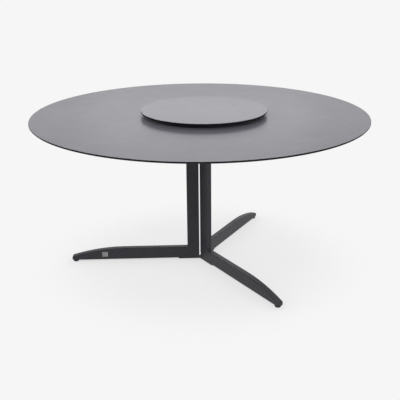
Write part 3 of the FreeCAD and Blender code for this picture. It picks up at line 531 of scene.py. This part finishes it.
def brushed_plate():
    """Dull grey metal with the level lines of a brush."""
    surface = Surface("brushed_plate", roughness=0.45, metallic=0.6)
    lines = surface.noise(1.0, detail=4.0, vector=surface.stretched(BRUSH_SCALE))
    tint = surface.lay(grey(0.22), grey(0.34), lines, 0.3, 0.7)
    gloss = surface.span(lines, 0.3, 0.7, 0.38, 0.55)
    return surface.finish(tint, gloss, surface.bump(lines, distance=0.02 * MM, strength=0.4))


def make_materials():
    """A material for each of the record's slots."""
    turntable = next(m for m in frame["record"]["mounts"] if m["name"] == "turntable_top")
    materials = {
        "top_laminate": laminate("top_laminate", "tabletop", TOP_TONE, TOP_ROUGHNESS),
        "disc_laminate": laminate("disc_laminate", "turntable_disc", DISC_TONE, DISC_ROUGHNESS),
        "leg_coating": powder_coat("leg_coating"),
        "frame_coating": powder_coat("frame_coating"),
        "brass_insert": turned_metal("brass_insert", *BRASS),
        "ring_aluminium": turned_metal("ring_aluminium", *ALUMINIUM, centre=turntable["pos_m"][:2]),
    }
    materials.update({slot: moulded_plastic(slot, *look) for slot, look in PLASTICS.items()})
    materials.update({slot: rubber(slot, colour) for slot, colour in RUBBERS.items()})
    materials.update({slot: plated_steel(slot, *look) for slot, look in STEELS.items()})
    return materials


def dress_nodes(materials):
    """Give each CAD node the material of its slot."""
    for part in frame["record"]["subparts"]:
        node = frame["nodes"][part["node"]]
        node.data.materials.clear()
        node.data.materials.append(materials[part["material_slot"]])


# ---------------------------------------------------------------- extra pieces


def close_tube(mesh, rings):
    """Join rings of vertices with faces, and close both ends."""
    for first, second in zip(rings, rings[1:]):
        for n in range(len(first)):
            after = (n + 1) % len(first)
            mesh.faces.new((first[n], first[after], second[after], second[n]))
    mesh.faces.new(reversed(rings[0]))
    mesh.faces.new(rings[-1])


def new_piece(name, mesh, material, smooth=True):
    """Turn a bmesh into an object of the scene, with its faces outwards and one material."""
    bmesh.ops.recalc_face_normals(mesh, faces=mesh.faces)
    data = bpy.data.meshes.new(name)
    mesh.to_mesh(data)
    mesh.free()
    for face in data.polygons:
        face.use_smooth = smooth
    data.materials.append(material)
    piece = bpy.data.objects.new(name, data)
    bpy.context.scene.collection.objects.link(piece)
    return piece


# The blank plate. The radius and the level are those of its middle.
PLATE_RADIUS = 491 * MM
PLATE_LEVEL = 38 * MM
PLATE_WIDTH = 29 * MM
PLATE_HEIGHT = 26 * MM
PLATE_THICKNESS = 0.8 * MM
PLATE_CORNER = 2.0 * MM
PLATE_EDGE = 0.25 * MM
CORNER_STEPS = 8


def rounded_outline(width, height, corner):
    """The corners of an upright rounded rectangle about the origin, as X and Z pairs."""
    outline = []
    for quarter, (right, up) in enumerate(((1, 1), (-1, 1), (-1, -1), (1, -1))):
        for step in range(CORNER_STEPS + 1):
            turn = math.pi / 2 * (quarter + step / CORNER_STEPS)
            outline.append((right * (width / 2 - corner) + corner * math.cos(turn),
                            up * (height / 2 - corner) + corner * math.sin(turn)))
    return outline


def make_blank_plate():
    """A blank metal plate on the side of the left foot, with rounded corners and an eased edge."""
    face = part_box("leg_left")[0].y
    mesh = bmesh.new()
    rings = []
    for out, inset in ((0, 0), (PLATE_THICKNESS - PLATE_EDGE, 0), (PLATE_THICKNESS, PLATE_EDGE)):
        width, height = PLATE_WIDTH - 2 * inset, PLATE_HEIGHT - 2 * inset
        outline = rounded_outline(width, height, PLATE_CORNER - inset)
        places = [(x - PLATE_RADIUS, face - out, z + PLATE_LEVEL) for x, z in outline]
        rings.append([mesh.verts.new(place) for place in places])
    close_tube(mesh, rings)
    plate = new_piece("blank_plate", mesh, brushed_plate(), smooth=False)
    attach(plate, "table")


# The weld beads. Those along an arm start some way out from the table's axis.
WELD_RADIUS = 2.4 * MM
WELD_TIP = 0.2 * MM
WELD_STEP = 0.5 * MM
WELD_RIPPLE = 1.9 * MM
WELD_DEPTH = 0.14
WELD_SIDES = 12
WELD_START = 90 * MM
ARM_HALF_WIDTH = 20 * MM
ARM_CORNER = 2.5 * MM


def add_weld(mesh, path):
    """One rippled weld bead with rounded ends, swept along a list of points on a level."""
    length = WELD_STEP * (len(path) - 1)
    rings = []
    for n, point in enumerate(path):
        along = (path[min(n + 1, len(path) - 1)] - path[max(n - 1, 0)]).normalized()
        across = along.cross(UP)
        travelled = n * WELD_STEP
        to_end = min(1.0, min(travelled, length - travelled) / WELD_RADIUS)
        rounded = math.sqrt(to_end * (2 - to_end))
        ripple = 1 - WELD_DEPTH * abs(math.sin(math.pi * travelled / WELD_RIPPLE))
        radius = max(WELD_TIP, WELD_RADIUS * rounded * ripple)
        ring = []
        for k in range(WELD_SIDES):
            turn = 2 * math.pi * k / WELD_SIDES
            offset = across * math.cos(turn) + UP * math.sin(turn)
            ring.append(mesh.verts.new(point + offset * radius))
        rings.append(ring)
    close_tube(mesh, rings)


def make_welds(materials):
    """Painted weld beads that hold each arm on the frame plate: two along it, one on the rim."""
    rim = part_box("top_frame_plate")[1].x
    side_steps = int((rim - 2 * WELD_RADIUS - WELD_START) / WELD_STEP)
    rim_steps = int((ARM_HALF_WIDTH - ARM_CORNER) / WELD_STEP)
    angles = [k * WELD_STEP / rim for k in range(-rim_steps, rim_steps + 1)]
    runs = [[(WELD_START + k * WELD_STEP, side) for k in range(side_steps)]
            for side in (-ARM_HALF_WIDTH, ARM_HALF_WIDTH)]
    runs.append([(rim * math.cos(angle), rim * math.sin(angle)) for angle in angles])
    mesh = bmesh.new()
    for n in range(1, ARM_COUNT + 1):
        low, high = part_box(f"top_frame_arm_{n}")
        turn = Matrix.Rotation(math.atan2(low.y + high.y, low.x + high.x), 3, "Z")
        for run in runs:
            add_weld(mesh, [turn @ Vector((x, y, low.z)) for x, y in run])
    welds = new_piece("frame_welds", mesh, materials["frame_coating"])
    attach(welds, "table")


# The glides' threads. Steps are the rings in one turn of it, and sides the points of a ring.
THREAD_PITCH = 1.5 * MM
THREAD_DEPTH = 0.85 * MM
THREAD_CHAMFER = 1.0 * MM
THREAD_STEPS = 8
THREAD_SIDES = 32


def make_thread(side, materials):
    """The right-handed screw thread of one levelling glide, in place of the solids' plain stud."""
    low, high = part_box(f"glide_stud_{side}")
    middle = (low + high) / 2
    major = (high.x - low.x) / 2
    length = high.z - low.z
    mesh = bmesh.new()
    count = round(length / THREAD_PITCH * THREAD_STEPS)
    rings = []
    for n in range(count + 1):
        climb = length * n / count
        chamfered = major - max(0.0, THREAD_CHAMFER - min(climb, length - climb))
        ring = []
        for k in range(THREAD_SIDES):
            turn = 2 * math.pi * k / THREAD_SIDES
            phase = (climb / THREAD_PITCH - k / THREAD_SIDES) % 1
            radius = min(chamfered, major - THREAD_DEPTH * abs(2 * phase - 1))
            x = middle.x + radius * math.cos(turn)
            y = middle.y + radius * math.sin(turn)
            ring.append(mesh.verts.new((x, y, low.z + climb)))
        rings.append(ring)
    close_tube(mesh, rings)
    stud = new_piece(f"glide_thread_{side}", mesh, materials["zinc_steel"])
    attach(stud, f"glide_{side}")
    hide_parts(f"glide_stud_{side}")


# ---------------------------------------------------------------- scene

# The tones above are meant to show as they are, without a film curve.
bpy.context.scene.view_settings.view_transform = "Standard"
make_camera()
make_floor()
make_world()
make_lights()
materials = make_materials()
dress_nodes(materials)
make_blank_plate()
make_welds(materials)
for side in LEG_SIDES:
    make_thread(side, materials)
